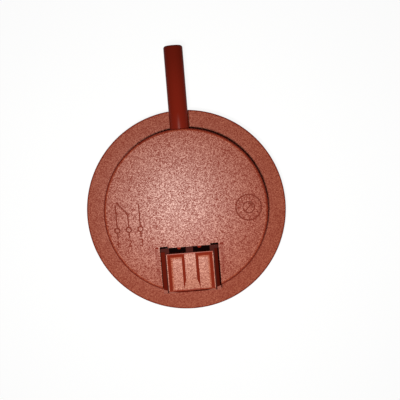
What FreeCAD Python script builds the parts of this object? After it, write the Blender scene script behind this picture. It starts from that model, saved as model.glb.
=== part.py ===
import FreeCAD, Part
import math
import os

from FreeCAD import Vector

# Pressure switch of a dishwasher, lying on its back, in millimetres.
# The origin is the centre of the flat back. +Z comes out of the front face, and +Y runs along the hose spigot.
# Air from the hose goes down a duct beside the drum wall into the rear bowl and lifts a rubber diaphragm.
# The diaphragm's plunger swings a snap arm between two fixed contacts, above the spring that it works against.

# Length by which every cutting shape stands out of what it cuts
over = 1.0

# Case
flange_radius = 32.5
flange_ledge = 6.15
bowl_inset = 0.35
parting_height = 9.0
flange_thickness = 2.2
case_wall = 1.5
face_wall = 1.4
skirt_wall = 1.1
skirt_gap = 0.1
drum_edge_round = 0.8
flange_edge_round = 0.5
bowl_edge_bevel = 0.9

# Hose spigot and the air duct behind it
spigot_radius = 3.1
spigot_bore = 1.7
spigot_length = 26.65
spigot_below_face = 0.6
spigot_tip_round = 0.8
duct_wall = 1.2
duct_gap = 0.2
duct_seal_thickness = 0.6

# Plug socket, whose mouth faces away from the spigot
pole_pitch = 5.0
tab_width = 4.8
tab_thickness = 0.8
tab_recess = 1.5
tab_tip_chamfer = 0.9
tab_slot_gap = 0.05
tab_dimple_radius = 0.8
socket_width = 15.5
socket_height = 5.5
socket_side_wall = 1.45
socket_floor_wall = 1.1
socket_rear_wall = 1.3
socket_recess = 0.3
socket_depth = 10.8
socket_flange_gap = 0.1
socket_shelf = 0.6
socket_web_drop = 1.0
socket_web_step = 1.1
shelf_groove_width = 0.45
shelf_groove_depth = 0.35

# Front wall of the socket with its tray and latch ramp
front_wall = 2.0
front_wall_proud = 0.9
front_wall_width = 15.0
front_wall_length = 12.7
tray_depth = 1.2
tray_rim = 0.25
tray_slope = 1.15
tray_round = 1.0
ramp_width = 3.5
ramp_flank = 0.95
ramp_level = 8.7
ramp_fall = 2.8
mouth_chamfer = 0.9
mouth_chamfer_slope = 0.5

# Window in the drum around the socket
window_gap = 0.2
window_notch_width = 2.6
window_notch_height = 0.5
nib_radius = 0.65
nib_spacing = 6.5
web_width = 2.3
core_width = 5.4
core_length = 2.3
core_floor = 0.4
cheek_gap = 0.45
cheek_wall = 1.0
sink_mark_depth = 0.1
sink_mark_length = 9.5
sink_dot_depth = 0.3
sink_dot_length = 0.45

# Diaphragm and the bowl under it
diaphragm_thickness = 0.8
chamber_margin = 7.4
chamber_wall = 1.6
bowl_floor = 1.6
stop_height = 3.4
stop_gap = 0.1
stop_ring_radius = 9.0
stop_ring_wall = 1.2
diaphragm_roll = 3.4
diaphragm_bend = 1.0
bowl_rib_count = 12
bowl_rib_wall = 1.2
bowl_rib_recess = 0.8
air_bore = 1.4

# Contact carrier
carrier_gap = 0.2
ring_thickness = 1.4
ring_overhang = 0.6
post_radius = 1.8
post_pin_radius = 0.9
post_pin_gap = 0.1
post_angles = (40.0, 140.0, 210.0, 330.0)
deck_margin = 4.35
deck_front = 6.5
deck_back = 8.5
deck_thickness = 1.5
deck_corner_round = 1.0
deck_leg_wall = 2.3
boss_radius = 8.0
boss_drop = 1.2

# Plate, plunger, spring and adjuster
plate_margin = 1.1
plate_thickness = 1.2
plate_rim_width = 2.0
hub_radius = 3.2
hub_height = 1.4
plunger_radius = 1.5
plunger_seat_gap = 0.02
plunger_shoulder = 2.3
plunger_shoulder_height = 1.0
plunger_tip_gap = 0.05
spring_radius = 4.6
spring_wire_radius = 0.35
spring_turns = 3.5
adjuster_radius = 6.0
adjuster_gap = 0.05
adjuster_bore = 2.1
adjuster_height = 2.0
adjuster_sink = 0.2
adjuster_slot_width = 1.2
adjuster_slot_depth = 0.7

# Contacts
contact_share = 0.44
contact_radius = 1.4
contact_shank = 0.8
contact_head = 0.35
contact_gap = 0.03
contact_travel = 0.72
arm_thickness = 0.2
arm_width = 4.8
arm_tip_width = 3.2
moving_head = 0.4
moving_contact_radius = 1.3
head_chamfer_share = 0.6
open_strip_gap = 0.3
riser_share = 0.205
riser_bend_share = 0.9
pivot_share = 0.605
pivot_gap = 0.03
bracket_thickness = 0.5
bracket_share = 0.283
bracket_width = 5.2
bracket_rise = 2.3
snap_thickness = 0.15
snap_width = 1.8
snap_length = 9.0
snap_lift = 0.9
snap_bow = 0.8
rivet_radius = 1.0
rivet_head_radius = 1.5
rivet_head = 0.6
rivet_clearance = 0.5
rivet_tail_radius = 1.4
rivet_tail_gap = 0.1
rivet_sink = 0.2
common_rivet_share = 0.66
closed_rivet_share = 0.43
strip_width = 3.4
strip_bend = 2.4
strip_root = 2.0
strip_margin = 0.4
strip_front_gap = 1.0
screw_radius = 0.9
screw_head_radius = 1.7
screw_head = 1.1
screw_slot = 0.4
screw_share = 0.176

# Radii of the case that follow from its outside
drum_radius = flange_radius - flange_ledge
bowl_radius = drum_radius - bowl_inset
drum_bore = drum_radius - case_wall
carrier_radius = drum_bore - carrier_gap
chamber_radius = bowl_radius - chamber_margin
ring_bore = chamber_radius - ring_overhang
diaphragm_flat_radius = ring_bore - diaphragm_roll
plate_radius = diaphragm_flat_radius - plate_margin
post_circle = (ring_bore + carrier_radius) / 2
duct_radius = spigot_bore + duct_wall
duct_offset = drum_bore - duct_radius - duct_gap
spigot_reach = drum_radius + spigot_length

# Heights that follow from the values above
flange_top = parting_height + flange_thickness
skirt_bottom = parting_height - flange_thickness
socket_bottom = flange_top + socket_flange_gap
socket_floor = socket_bottom + socket_floor_wall
socket_roof = socket_floor + socket_height
front_height = socket_roof + front_wall
face_height = front_height - front_wall_proud
ceiling = face_height - face_wall
ring_top = parting_height + ring_thickness
land_height = parting_height - diaphragm_thickness
duct_end = ring_top + duct_seal_thickness
spigot_height = face_height - spigot_below_face - spigot_radius
tab_middle = socket_floor + socket_height / 2

# Stack of the contacts, counted down from the inside of the drum face
open_strip_bottom = ceiling - open_strip_gap - tab_thickness
open_contact_bottom = open_strip_bottom - contact_head
arm_middle = open_contact_bottom - contact_gap - contact_travel - moving_head - arm_thickness / 2
arm_top = arm_middle + arm_thickness / 2
arm_bottom = arm_middle - arm_thickness / 2
deck_top = arm_bottom - moving_head - contact_gap - contact_head - tab_thickness
deck_bottom = deck_top - deck_thickness
strip_top = deck_top + tab_thickness
neck_top = strip_top + tab_thickness

# Stack of the diaphragm, counted up from the stops in the bowl
diaphragm_bottom = stop_height + stop_gap
plate_bottom = diaphragm_bottom + diaphragm_thickness
plate_top = plate_bottom + plate_thickness
adjuster_top = deck_top - adjuster_sink
adjuster_bottom = adjuster_top - adjuster_height

# Places of the socket and its window in plan
socket_half = socket_width / 2 + socket_side_wall
window_half = socket_half + window_gap
socket_reach = drum_radius - socket_recess
front_wall_top = socket_reach - front_wall_length
socket_back = socket_reach - socket_depth - socket_rear_wall
carrier_front = socket_back - core_length
window_top = carrier_front - window_gap
cheek_start = window_half + cheek_gap
cheek_reach = math.sqrt((drum_radius - case_wall / 2) ** 2 - (cheek_start + cheek_wall) ** 2)

# Places on the deck in plan
deck_half_length = drum_bore - deck_margin
contact_reach = deck_half_length * contact_share
pivot_reach = deck_half_length * pivot_share
bracket_foot = deck_half_length * bracket_share
riser_place = contact_reach + deck_half_length * riser_share
post_places = [(post_circle * math.cos(math.radians(a)), post_circle * math.sin(math.radians(a)))
               for a in post_angles]
poles = {"terminal_common": -pole_pitch, "terminal_closed": 0.0, "terminal_open": pole_pitch}
rivet_beside_bracket = -bracket_width / 2 - rivet_head_radius - rivet_clearance
rivet_beside_contact = -contact_radius - rivet_head_radius - 2 * rivet_clearance
rivet_beside_leg = deck_half_length - deck_leg_wall - rivet_head_radius - rivet_clearance
rivet_places = {
    "terminal_common": (-deck_half_length * common_rivet_share, rivet_beside_bracket),
    "terminal_closed": (deck_half_length * closed_rivet_share, rivet_beside_contact),
    "terminal_open": (rivet_beside_leg, rivet_beside_contact),
}
screw_place = (-pivot_reach - deck_half_length * screw_share, 0.0)
up = Vector(0, 0, 1)


def block(x0, x1, y0, y1, z0, z1):
    """A box between two corners."""
    return Part.makeBox(x1 - x0, y1 - y0, z1 - z0, Vector(x0, y0, z0))


def rod(radius, z0, z1, place=(0.0, 0.0)):
    """An upright cylinder at a place in plan."""
    return Part.makeCylinder(radius, z1 - z0, Vector(place[0], place[1], z0))


def hole(radius, z0, z1, place=(0.0, 0.0)):
    """A cylinder that cuts an upright hole from z0 to z1 and stands out at both ends."""
    return rod(radius, z0 - over, z1 + over, place)


def tube(outer, inner, z0, z1, place=(0.0, 0.0)):
    """An upright ring at a place in plan."""
    return rod(outer, z0, z1, place).cut(hole(inner, z0, z1, place))


def revolved(profile):
    """The solid that a closed outline of (radius, height) points sweeps about the disc's axis."""
    points = [Vector(radius, 0, height) for radius, height in profile]
    return Part.Face(Part.makePolygon(points + points[:1])).revolve(Vector(0, 0, 0), up, 360)


def plate(outline, z0, z1):
    """A flat plate with the given outline in plan."""
    points = [Vector(x, y, z0) for x, y in outline]
    return Part.Face(Part.makePolygon(points + points[:1])).extrude(Vector(0, 0, z1 - z0))


def side_plate(outline, x0, x1):
    """A plate that stands across X, with its outline given as (y, z) points."""
    points = [Vector(x0, y, z) for y, z in outline]
    return Part.Face(Part.makePolygon(points + points[:1])).extrude(Vector(x1 - x0, 0, 0))


def end_plate(outline, y0, y1):
    """A plate that stands across Y, with its outline given as (x, z) points."""
    points = [Vector(x, y0, z) for x, z in outline]
    return Part.Face(Part.makePolygon(points + points[:1])).extrude(Vector(0, y1 - y0, 0))


def mirrored(near, far):
    """The two spans of X that lie between near and far on the left and on the right."""
    return [(-far, -near), (near, far)]


def fused(shapes):
    """One solid from shapes that meet, added one after another."""
    whole = shapes[0]
    for shape in shapes[1:]:
        whole = whole.fuse(shape)
    return whole


def joined(shapes):
    """One solid from shapes that meet, with the seams between flush faces removed."""
    return fused(shapes).removeSplitter()


def rims(shape, radius, height):
    """The level circular edges of a shape with a given radius and height."""
    return [edge for edge in shape.Edges if isinstance(edge.Curve, Part.Circle)
            and abs(edge.Curve.Radius - radius) < 1e-3 and abs(edge.Curve.Center.z - height) < 1e-3
            and abs(edge.BoundBox.ZLength) < 1e-3]


def uprights(shape, corners):
    """The vertical edges of a shape that stand at the given corners in plan."""
    return [edge for edge in shape.Edges if edge.BoundBox.XLength + edge.BoundBox.YLength < 1e-3
            and any(abs(edge.BoundBox.XMin - x) + abs(edge.BoundBox.YMin - y) < 1e-3 for x, y in corners)]


def drum_shell():
    """The turned form of the front moulding: face, drum wall, flange and the skirt round the joint."""
    profile = [(0, ceiling), (drum_bore, ceiling), (drum_bore, parting_height),
               (flange_radius - skirt_wall, parting_height), (flange_radius - skirt_wall, skirt_bottom),
               (flange_radius, skirt_bottom), (flange_radius, flange_top), (drum_radius, flange_top),
               (drum_radius, face_height), (0, face_height)]
    shell = revolved(profile)
    shell = shell.makeFillet(drum_edge_round, rims(shell, drum_radius, face_height))
    return shell.makeFillet(flange_edge_round, rims(shell, flange_radius, flange_top))


def window_tools():
    """The space of the window in face and drum wall above the flange, with a notch in each upper corner."""
    window = block(-window_half, window_half, -flange_radius, -window_top, flange_top, face_height + over)
    notches = [block(x0, x1, -window_top - over, -window_top + window_notch_height,
                     ceiling - over, face_height + over)
               for x0, x1 in mirrored(window_half - window_notch_width, window_half)]
    return [window] + notches


def sink_marks():
    """The shallow sunk strips in the face over the cheeks, with a deeper dot at the upper end of each."""
    marks = []
    for x0, x1 in mirrored(cheek_start, cheek_start + cheek_wall):
        marks.append(block(x0, x1, -window_top - sink_mark_length, -window_top,
                           face_height - sink_mark_depth, face_height + over))
        marks.append(block(x0, x1, -window_top, -window_top + sink_dot_length,
                           face_height - sink_dot_depth, face_height + over))
    return marks


def spigot():
    """The hose spigot and the duct that turns its air way down to the carrier, not yet bored."""
    along = Vector(0, 1, 0)
    start = Vector(0, duct_offset, spigot_height)
    pipe = Part.makeCylinder(spigot_radius, spigot_reach - duct_offset, start, along)
    tip = [edge for edge in pipe.Edges if abs(edge.BoundBox.YMin - spigot_reach) < 1e-3]
    pipe = pipe.makeFillet(spigot_tip_round, tip)
    duct = rod(duct_radius, duct_end, ceiling + face_wall / 2, (0, duct_offset))
    return [pipe, duct]


def air_way():
    """The bores of the spigot and of its duct, which meet at an elbow."""
    start = Vector(0, duct_offset, spigot_height)
    level = Part.makeCylinder(spigot_bore, spigot_reach - duct_offset + over, start, Vector(0, 1, 0))
    down = rod(spigot_bore, duct_end - over, spigot_height, (0, duct_offset))
    return [level, down]


def front_housing():
    """The front moulding: drum, flange, spigot, clamping posts, window and the nibs on its upper edge."""
    body = drum_shell()
    for tool in window_tools() + sink_marks():
        body = body.cut(tool)
    posts = []
    for place in post_places:
        posts.append(rod(post_radius, ring_top, ceiling + face_wall / 2, place))
        posts.append(rod(post_pin_radius, parting_height + post_pin_gap, ring_top + ring_thickness, place))
    cheeks = [block(x0, x1, -cheek_reach, -carrier_front, socket_floor, ceiling + face_wall / 2)
              for x0, x1 in mirrored(cheek_start, cheek_start + cheek_wall)]
    nibs = [rod(nib_radius, ceiling, face_height - window_gap / 2, (side * nib_spacing / 2, -window_top))
            for side in (-1, 1)]
    whole = fused([body] + spigot() + posts + cheeks + nibs)
    for bore in air_way():
        whole = whole.cut(bore)
    return whole


def bowl_shell():
    """The turned form of the rear moulding: chamber, land for the diaphragm, cored ring and flange."""
    rim = flange_radius - skirt_wall - skirt_gap
    land_bottom = land_height - chamber_wall
    inner_wall = chamber_radius + chamber_wall
    profile = [(0, 0), (inner_wall, 0), (inner_wall, land_bottom), (bowl_radius - case_wall, land_bottom),
               (bowl_radius - case_wall, 0), (bowl_radius, 0), (bowl_radius, skirt_bottom),
               (rim, skirt_bottom), (rim, parting_height), (drum_bore, parting_height),
               (drum_bore, land_height), (chamber_radius, land_height), (chamber_radius, bowl_floor),
               (0, bowl_floor)]
    shell = revolved(profile)
    return shell.makeChamfer(bowl_edge_bevel, rims(shell, bowl_radius, 0))


def rear_bowl():
    """The rear moulding with its stiffening ribs, the stop ring under the diaphragm and the air way in."""
    land_bottom = land_height - chamber_wall
    inner = chamber_radius + chamber_wall / 2
    outer = bowl_radius - case_wall / 2
    rib_top = land_bottom + chamber_wall / 2
    rib = block(inner, outer, -bowl_rib_wall / 2, bowl_rib_wall / 2, bowl_rib_recess, rib_top)
    ribs = []
    for index in range(bowl_rib_count):
        turned = rib.copy()
        turned.rotate(Vector(0, 0, 0), up, 360.0 / bowl_rib_count * (index + 0.5))
        ribs.append(turned)
    stop = tube(stop_ring_radius + stop_ring_wall / 2, stop_ring_radius - stop_ring_wall / 2,
                bowl_floor / 2, stop_height)
    duct = block(-duct_radius, duct_radius, inner, outer, bowl_floor, rib_top)
    air_level = land_height - chamber_wall - air_bore
    down = rod(spigot_bore, air_level - air_bore, parting_height, (0, duct_offset))
    inward = Part.makeCylinder(air_bore, duct_offset - chamber_radius + over,
                               Vector(0, duct_offset, air_level), Vector(0, -1, 0))
    return joined([bowl_shell(), stop, duct] + ribs).cut(down.fuse(inward))


def diaphragm():
    """The rubber sheet: clamped rim, sloping wall with eased bends, and the flat that lifts the plate."""
    half = diaphragm_thickness / 2
    low = diaphragm_bottom + half
    high = land_height + half
    bend_radius = (ring_bore + diaphragm_flat_radius) / 2 + half
    slope = math.atan2(high - low, bend_radius - diaphragm_flat_radius)
    shift = half * math.tan(slope / 2)
    below, above = shift, -shift
    profile = [(0, low - half), (diaphragm_flat_radius + below, low - half),
               (bend_radius + below, high - half), (carrier_radius, high - half),
               (carrier_radius, high + half), (bend_radius + above, high + half),
               (diaphragm_flat_radius + above, low + half), (0, low + half)]
    sheet = revolved(profile)
    outside = rims(sheet, diaphragm_flat_radius + below, low - half)
    outside += rims(sheet, bend_radius + above, high + half)
    inside = rims(sheet, diaphragm_flat_radius + above, low + half)
    inside += rims(sheet, bend_radius + below, high - half)
    sheet = sheet.makeChamfer(diaphragm_bend, outside)
    sheet = sheet.makeChamfer(diaphragm_bend - half / 2, rims_again(sheet, inside))
    return sheet.cut(hole(spigot_bore, land_height, parting_height, (0, duct_offset)))


def rims_again(shape, edges):
    """The edges of a changed shape that still have the radius and height of some earlier circular edges."""
    return [found for edge in edges for found in rims(shape, edge.Curve.Radius, edge.Curve.Center.z)]


def socket_block():
    """The socket from outside: floor, sides and rear wall in one block, before its hollows are cut."""
    shelf = face_height - socket_shelf
    hood = block(-socket_half, socket_half, -socket_reach, -carrier_front, socket_bottom, shelf)
    foot = block(-socket_half, socket_half, -drum_radius, -socket_back, parting_height, socket_floor)
    foot = foot.common(rod(carrier_radius, parting_height, socket_floor))
    half = front_wall_width / 2
    lid = block(-half, half, -socket_reach, -front_wall_top, socket_roof, front_height)
    return [hood, foot, lid]


def socket_hollows():
    """The plug's space, the two pockets behind it, the way for the terminals' necks, and their slots."""
    shelf = face_height - socket_shelf
    cavity = block(-socket_width / 2, socket_width / 2, -socket_reach - over, -socket_reach + socket_depth,
                   socket_floor, socket_roof)
    half = tab_thickness / 2 + tab_slot_gap
    rise = tab_width / 2 + tab_slot_gap
    neck_roof = neck_top + 2 * tab_slot_gap
    neck_half = pole_pitch + half
    necks = block(-neck_half, neck_half, -socket_back, -carrier_front + over, socket_bottom - over, neck_roof)
    hollows = [cavity, necks]
    back = -carrier_front + over
    for x0, x1 in mirrored(web_width / 2, web_width / 2 + core_width):
        hollows.append(block(x0, x1, -socket_back, back, neck_roof + core_floor, face_height))
    for x in poles.values():
        hollows.append(block(x - half, x + half, -socket_reach + socket_depth - over,
                             -socket_back + tab_slot_gap, tab_middle - rise, tab_middle + rise))
    low = shelf - socket_web_drop
    side = front_wall_width / 2
    step = -carrier_front - socket_web_step
    hollows.append(block(-side, side, -front_wall_top, back, low, shelf + over))
    hollows.append(block(-socket_half - over, socket_half + over, step, back, low, shelf + over))
    groove = shelf - shelf_groove_depth
    for x0, x1 in mirrored(side, side + shelf_groove_width):
        hollows.append(block(x0, x1, -socket_reach - over, back, groove, shelf + over))
    return hollows


def tray_tool():
    """The shallow tray in the front wall: sloping sides eased into the floor, and open at the mouth."""
    floor = front_height - tray_depth
    above = front_height + tray_depth
    side = front_wall_width / 2 - tray_rim
    top = -front_wall_top - tray_rim
    mouth = -socket_reach - tray_round * 2
    across = end_plate([(-side + tray_slope, floor), (side - tray_slope, floor), (side + tray_slope, above),
                        (-side - tray_slope, above)], mouth, top + tray_slope * 2)
    along = side_plate([(mouth, floor), (top - tray_slope, floor), (top + tray_slope, above), (mouth, above)],
                       -side * 2, side * 2)
    tool = across.common(along)
    level = [edge for edge in tool.Edges if abs(edge.BoundBox.ZMax - floor) < 1e-3]
    corners = [edge for edge in level if edge.BoundBox.YMax > top - tray_slope - 1e-3]
    return tool.makeFillet(tray_round, corners)


def latch_ramp():
    """The ramp in the middle of the tray: level from the tray's upper rim, then falling towards the mouth."""
    floor = front_height - tray_depth
    root = -front_wall_top - tray_rim / 2
    knee = -front_wall_top - ramp_level
    end = knee - ramp_fall
    sunk = floor - front_wall / 8
    half = ramp_width / 2
    spread = ramp_flank * (front_height - sunk) / tray_depth
    along = side_plate([(end, sunk), (end, floor), (knee, front_height), (root, front_height), (root, sunk)],
                       -front_wall_width / 2, front_wall_width / 2)
    section = [(-half, front_height), (half, front_height), (half + spread, sunk), (-half - spread, sunk)]
    across = end_plate(section, -socket_reach, -front_wall_top)
    return along.common(across)


def mouth_bevel():
    """The wedge that bevels the outer edge of the front wall at the mouth."""
    floor = front_height - tray_depth
    start = -socket_reach + mouth_chamfer
    end = -socket_reach - over
    outline = [(end, floor - mouth_chamfer_slope * (start - end)), (end, front_height + over),
               (start, front_height + over), (start, floor)]
    return side_plate(outline, -socket_half - over, socket_half + over)


def deck():
    """The bridge over the plate, which carries the contacts, with legs on the ring and the adjuster's boss."""
    top = block(-deck_half_length, deck_half_length, -deck_front, deck_back, deck_bottom, deck_top)
    corners = [(x, y) for x in (-deck_half_length, deck_half_length) for y in (-deck_front, deck_back)]
    top = top.makeFillet(deck_corner_round, uprights(top, corners))
    legs = [block(x0, x1, -deck_front + deck_corner_round, deck_back - deck_corner_round,
                  ring_top - ring_thickness / 2, deck_top - deck_thickness / 2)
            for x0, x1 in mirrored(deck_half_length - deck_leg_wall, deck_half_length)]
    boss = rod(boss_radius, deck_bottom - boss_drop, deck_top)
    return [top, boss] + legs


def contact_carrier():
    """The inner moulding: clamping ring, plug socket in the window, and the deck under the contacts."""
    ring = tube(carrier_radius, ring_bore, parting_height, ring_top)
    whole = joined([ring] + socket_block() + deck())
    cuts = socket_hollows() + [tray_tool(), mouth_bevel()]
    cuts.append(hole(adjuster_radius + adjuster_gap, deck_bottom - boss_drop, deck_top))
    cuts.append(hole(spigot_bore, parting_height, ring_top, (0, duct_offset)))
    for place in post_places:
        cuts.append(hole(post_pin_radius + post_pin_gap, parting_height, ring_top, place))
    for place in rivet_places.values():
        cuts.append(hole(rivet_radius, deck_bottom, deck_top, place))
        cuts.append(rod(rivet_tail_radius + rivet_tail_gap, deck_bottom - boss_drop - over,
                        deck_bottom + rivet_sink, place))
    cuts.append(hole(screw_radius, deck_bottom, deck_top, screw_place))
    tail_bottom = deck_top - contact_head - contact_gap
    cuts.append(rod(contact_radius, tail_bottom, deck_top + over, (contact_reach, 0)))
    whole = whole.cut(cuts)
    return joined([whole, latch_ramp()])


def tab(name):
    """A terminal's tab with its bevelled tip and the narrow neck that runs in over the deck."""
    x = poles[name]
    low = tab_middle - tab_width / 2
    high = tab_middle + tab_width / 2
    tip = -socket_reach + tab_recess
    neck_end = -carrier_front + tab_width / 2
    outline = [(tip, low + tab_tip_chamfer), (tip + tab_tip_chamfer, low), (-socket_back, low),
               (-socket_back, deck_top), (neck_end, deck_top), (neck_end, neck_top), (-socket_back, neck_top),
               (-socket_back, high), (tip + tab_tip_chamfer, high), (tip, high - tab_tip_chamfer)]
    blade = side_plate(outline, x - tab_thickness / 2, x + tab_thickness / 2)
    dimple = Part.makeCylinder(tab_dimple_radius, tab_thickness * 2,
                               Vector(x - tab_thickness, tip + tab_width, tab_middle), Vector(1, 0, 0))
    return blade.cut(dimple)


def strip(name, outline):
    """A terminal's flat strip on the deck, with the hole for its rivet."""
    return plate(outline, deck_top, strip_top).cut(hole(rivet_radius, deck_top, strip_top, rivet_places[name]))


def terminal_common():
    """The common terminal, whose strip ends under the pivot bracket."""
    edge = -pole_pitch + tab_thickness / 2
    start = -window_top
    side = bracket_width / 2 + strip_margin
    inner = -pivot_reach + strip_width / 2
    outer = -pivot_reach - bracket_foot
    outline = [(edge, start), (edge, start + strip_bend), (inner, -deck_front + strip_front_gap),
               (inner, side), (outer, side), (outer, -side), (inner - strip_width, -deck_front),
               (edge - strip_root, start)]
    flat = strip("terminal_common", outline).cut(hole(screw_radius, deck_top, strip_top, screw_place))
    return joined([tab("terminal_common"), flat])


def terminal_closed():
    """The terminal of the contact that is closed at rest, with its strip under the arm's end."""
    edge = -tab_thickness / 2
    start = -window_top
    inner = contact_reach - contact_radius - 2 * strip_margin
    outer = contact_reach + contact_radius + strip_margin
    back = contact_radius + 2 * strip_margin
    outline = [(edge, start), (edge, start + strip_bend), (inner, -deck_front + 2 * strip_front_gap),
               (inner, back), (outer, back), (outer, -deck_front + strip_bend),
               (edge + strip_width, start + strip_bend), (edge + strip_bend, start)]
    flat = strip("terminal_closed", outline).cut(hole(contact_shank, deck_top, strip_top, (contact_reach, 0)))
    return joined([tab("terminal_closed"), flat])


def terminal_open():
    """The terminal of the contact that the arm snaps up to: foot, riser and an arm back over the contact."""
    edge = pole_pitch - tab_thickness / 2
    start = -window_top
    back = contact_radius + 2 * strip_margin
    outer = rivet_places["terminal_open"][0] + rivet_head_radius + strip_margin
    near = riser_place - tab_thickness
    outline = [(edge, start), (edge, start + strip_bend / 2), (near, -deck_front + strip_margin),
               (near, back), (outer, back), (outer, -deck_front + strip_front_gap),
               (edge + strip_bend, start + strip_margin), (edge + strip_root, start)]
    foot = strip("terminal_open", outline)
    half = contact_radius + strip_margin
    top = open_strip_bottom + tab_thickness
    upright = block(riser_place, riser_place + tab_thickness, -half, half, deck_top, top)
    reach = block(contact_reach - half, riser_place + tab_thickness, -half, half, open_strip_bottom, top)
    reach = reach.cut(hole(contact_shank, open_strip_bottom, top, (contact_reach, 0)))
    whole = joined([tab("terminal_open"), foot, upright, reach])
    bend = [edge for edge in whole.Edges if abs(edge.BoundBox.XMin - riser_place - tab_thickness) < 1e-3
            and edge.BoundBox.XLength + edge.BoundBox.ZLength < 1e-3 and abs(edge.BoundBox.ZMin - top) < 1e-3]
    return whole.makeFillet(tab_thickness * riser_bend_share, bend)


def contact_closed():
    """The fixed contact under the arm, riveted through its terminal."""
    head = rod(contact_radius, strip_top, strip_top + contact_head, (contact_reach, 0))
    edge = rims(head, contact_radius, strip_top + contact_head)
    head = head.makeChamfer(contact_head * head_chamfer_share, edge)
    shank = rod(contact_shank, deck_top, strip_top + contact_head / 2, (contact_reach, 0))
    tail = rod((contact_shank + contact_radius) / 2, deck_top - contact_head, deck_top, (contact_reach, 0))
    return joined([head, shank, tail])


def contact_open():
    """The fixed contact over the arm, riveted through the overhanging end of its terminal."""
    head = rod(contact_radius, open_contact_bottom, open_strip_bottom, (contact_reach, 0))
    head = head.makeChamfer(contact_head * head_chamfer_share, rims(head, contact_radius, open_contact_bottom))
    shank = rod(contact_shank, open_strip_bottom - contact_head / 2,
                open_strip_bottom + tab_thickness + open_strip_gap / 2, (contact_reach, 0))
    return joined([head, shank])


def moving_contact():
    """The double-headed contact rivet at the arm's end."""
    place = (contact_reach, 0)
    heads = []
    for inner, outer in ((arm_top, arm_top + moving_head), (arm_bottom, arm_bottom - moving_head)):
        head = rod(moving_contact_radius, min(inner, outer), max(inner, outer), place)
        edge = rims(head, moving_contact_radius, outer)
        heads.append(head.makeChamfer(moving_head * head_chamfer_share, edge))
    shank = rod(contact_shank, arm_bottom - moving_head / 2, arm_top + moving_head / 2, place)
    return joined(heads + [shank])


def contact_arm():
    """The moving leaf: wide at its knife edge, windowed for the snap spring, narrow at the contact."""
    root = -pivot_reach + pivot_gap
    wide = arm_width / 2
    narrow = arm_tip_width / 2
    corner = wide - narrow
    tip = contact_reach + contact_radius + strip_margin
    waist = root + snap_length + corner
    outline = [(root, -wide), (waist - corner, -wide), (waist, -narrow), (tip - corner, -narrow),
               (tip, -narrow + corner), (tip, narrow - corner), (tip - corner, narrow),
               (waist, narrow), (waist - corner, wide), (root, wide)]
    leaf = plate(outline, arm_bottom, arm_top)
    half = snap_width / 2 + strip_margin
    slot = block(root + strip_bend, root + snap_length - strip_margin, -half, half,
                 arm_bottom - over, arm_top + over)
    return leaf.cut([slot, hole(contact_shank, arm_bottom, arm_top, (contact_reach, 0))])


def snap_spring():
    """The bowed leaf between the bracket's upright and the arm's tongue, thin in height and bowed upward."""
    half = snap_thickness / 2
    left = -pivot_reach + strip_margin / 2
    right = left + snap_length
    start = arm_top + snap_lift
    end = arm_top + snap_thickness
    crown = start + snap_bow
    lower, upper = [Part.Arc(Vector(left, 0, start + shift), Vector((left + right) / 2, 0, crown + shift),
                             Vector(right, 0, end + shift)).toShape() for shift in (-half, half)]
    sides = [Part.makeLine(Vector(x, 0, z - half), Vector(x, 0, z + half))
             for x, z in ((left, start), (right, end))]
    face = Part.Face(Part.Wire(Part.__sortEdges__([lower, upper] + sides)))
    face.translate(Vector(0, -snap_width / 2, 0))
    return face.extrude(Vector(0, snap_width, 0))


def pivot_bracket():
    """The stamped angle on the common terminal, whose upright has a slot that seats the arm's knife edge."""
    half = bracket_width / 2
    back = -pivot_reach - bracket_foot
    foot = block(back, -pivot_reach, -half, half, strip_top, strip_top + bracket_thickness)
    upright = block(-pivot_reach - bracket_thickness, -pivot_reach, -half, half,
                    strip_top, strip_top + bracket_thickness + bracket_rise)
    whole = joined([foot, upright])
    seat = block(-pivot_reach - over, -pivot_reach + over, -arm_tip_width / 2, arm_tip_width / 2,
                 arm_bottom - arm_thickness / 2, arm_top + arm_thickness / 2)
    return whole.cut([seat, hole(screw_radius, strip_top, strip_top + bracket_thickness, screw_place)])


def reset_screw():
    """The slotted screw that holds the bracket down on the deck."""
    seat = strip_top + bracket_thickness
    head = rod(screw_head_radius, seat, seat + screw_head, screw_place)
    head = head.makeChamfer(screw_head / 4, rims(head, screw_head_radius, seat + screw_head))
    shank = rod(screw_radius, deck_bottom - rivet_head, seat + screw_head / 2, screw_place)
    slot = block(screw_place[0] - screw_slot / 2, screw_place[0] + screw_slot / 2, -screw_head_radius - over,
                 screw_head_radius + over, seat + screw_head / 2, seat + screw_head + over)
    return joined([head, shank]).cut(slot)


def terminal_rivets():
    """The rivets that hold the terminals on the deck, one for each terminal."""
    rivets = []
    for place in rivet_places.values():
        head = rod(rivet_head_radius, strip_top, strip_top + rivet_head, place)
        edge = rims(head, rivet_head_radius, strip_top + rivet_head)
        head = head.makeChamfer(rivet_head * head_chamfer_share, edge)
        shank = rod(rivet_radius, deck_bottom, strip_top + rivet_head / 2, place)
        tail = rod(rivet_tail_radius, deck_bottom + rivet_sink - rivet_head, deck_bottom + rivet_sink, place)
        rivets.append(joined([head, shank, tail]))
    return Part.makeCompound(rivets)


def duct_seal():
    """The rubber ring that seals the duct's end on the carrier."""
    return tube(duct_radius, spigot_bore, ring_top, duct_end, (0, duct_offset))


def diaphragm_plate():
    """The stiff plate on the diaphragm, with a hub for the plunger and a raised rim."""
    lip = plate_thickness / 3
    rim = plate_radius - plate_rim_width
    profile = [(0, plate_bottom), (plate_radius, plate_bottom), (plate_radius, plate_top + lip),
               (rim, plate_top + lip), (rim, plate_top), (hub_radius, plate_top),
               (hub_radius, plate_top + hub_height), (0, plate_top + hub_height)]
    body = revolved(profile)
    body = body.makeChamfer(lip, rims(body, plate_radius, plate_bottom))
    return body.cut(rod(plunger_radius + plunger_seat_gap, plate_bottom + plate_thickness / 2,
                        plate_top + hub_height + over))


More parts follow.
